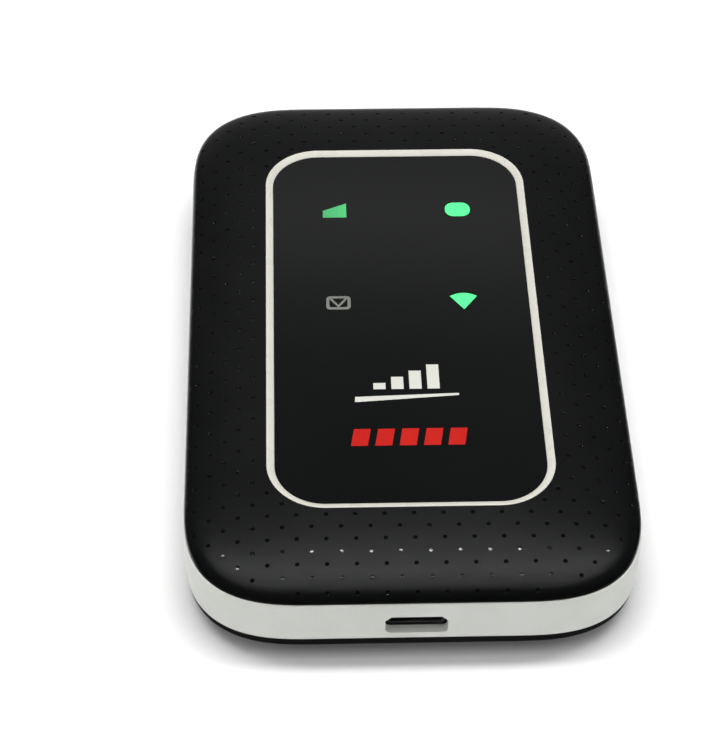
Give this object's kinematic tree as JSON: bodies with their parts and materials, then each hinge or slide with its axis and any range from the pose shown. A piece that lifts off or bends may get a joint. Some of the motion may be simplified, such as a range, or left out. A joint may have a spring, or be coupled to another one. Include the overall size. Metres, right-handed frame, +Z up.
{
  "type": "mobile hotspot",
  "caption": "Pocket wireless hotspot: pebble-shaped case with a black dimpled top, pale side band, ringed display window, charging socket and clip-on rear cover.",
  "frame": {"origin": "middle of the flat underside of the case", "axes": "+X across the width, +Y along the length from the charging socket towards the power button, +Z up out of the display window"},
  "size_m": [0.0612, 0.0988, 0.015],
  "materials": {
    "shell_black": "satin moulded plastic with fine dimples",
    "ring_ivory": "satin ivory plastic ring",
    "window_black": "glossy black acrylic window",
    "adhesive_grey": "foam adhesive tape",
    "film_white": "milky diffuser film",
    "icon_green": "lit green icon",
    "icon_grey": "grey printed outline",
    "print_white": "white screen print",
    "print_red": "dark red screen print",
    "shroud_black": "matt black moulded plastic",
    "led_cream": "moulded LED package",
    "band_white": "off-white plastic with a very fine rib texture",
    "button_white": "satin off-white plastic",
    "switch_steel": "tinned steel switch body",
    "board_green": "solder-masked circuit board",
    "shield_tin": "tin-plated sheet",
    "chip_black": "moulded chip package",
    "port_steel": "stamped steel socket shell",
    "tongue_black": "moulded socket tongue",
    "contact_gold": "gold-plated contact",
    "antenna_copper": "stamped copper alloy",
    "housing_black": "fine-textured black plastic",
    "screw_steel": "zinc-plated steel",
    "label_white": "blank white label",
    "sim_white": "white card plastic",
    "battery_black": "dark plastic battery case",
    "label_grey": "blank grey battery label",
    "reset_red": "red plastic button",
    "pairing_blue": "blue plastic button",
    "cover_black": "satin moulded plastic"
  },
  "bodies": {
    "chassis": {"top_shell": "shell_black", "bezel_ring": "ring_ivory", "display_window": "window_black", "window_adhesive": "adhesive_grey", "diffuser_film": "film_white", "icon_signal": "icon_green", "icon_battery": "icon_green", "icon_message": "icon_grey", "icon_wireless": "icon_green", "print_white": "print_white", "print_red": "print_red", "light_shroud": "shroud_black", "status_leds": "led_cream", "side_band": "band_white", "power_switch": "switch_steel", "main_board": "board_green", "processor_shield": "shield_tin", "radio_shield": "shield_tin", "processor_chip": "chip_black", "modem_chip": "chip_black", "memory_chip": "chip_black", "radio_chip": "chip_black", "power_chip": "chip_black", "usb_shell": "port_steel", "usb_tongue": "tongue_black", "usb_contacts": "contact_gold", "main_antenna": "antenna_copper", "diversity_antenna": "antenna_copper", "wireless_antenna": "antenna_copper", "rear_housing": "housing_black", "housing_screws": "screw_steel", "rating_label": "label_white", "sim_holder": "port_steel", "battery_connector": "shroud_black", "reset_switch": "switch_steel", "pairing_switch": "switch_steel"},
    "power_button": {"power_button": "button_white"},
    "rear_cover": {"rear_cover": "cover_black"},
    "battery": {"battery_pack": "battery_black", "battery_terminals": "contact_gold", "battery_label": "label_grey"},
    "sim_card": {"sim_card": "sim_white"},
    "reset_button": {"reset_button": "reset_red"},
    "pairing_button": {"pairing_button": "pairing_blue"}
  },
  "joints": [
    {"name": "power_button_press", "type": "slide", "parent": "chassis", "child": "power_button", "axis": [0, -1, 0], "range_m": [0, 0.0003], "stiffness_N_per_m": 3000, "springref_m": -0.0003},
    {"name": "cover_release", "type": "slide", "parent": "chassis", "child": "rear_cover", "axis": [0, 0, -1], "range_m": [0, 0.03]},
    {"name": "battery_lift", "type": "slide", "parent": "chassis", "child": "battery", "axis": [0, 0, -1], "range_m": [0, 0.015]},
    {"name": "sim_slide", "type": "slide", "parent": "chassis", "child": "sim_card", "axis": [1, 0, 0], "range_m": [0, 0.016]},
    {"name": "reset_press", "type": "slide", "parent": "chassis", "child": "reset_button", "axis": [0, 0, 1], "range_m": [0, 0.00025], "stiffness_N_per_m": 3000, "springref_m": -0.0003},
    {"name": "pairing_press", "type": "slide", "parent": "chassis", "child": "pairing_button", "axis": [0, 0, 1], "range_m": [0, 0.00025], "stiffness_N_per_m": 3000, "springref_m": -0.0003}
  ],
  "couplings": [
    {"joint": "battery_lift", "follows": "cover_release", "ratio": 0.5}
  ]
}
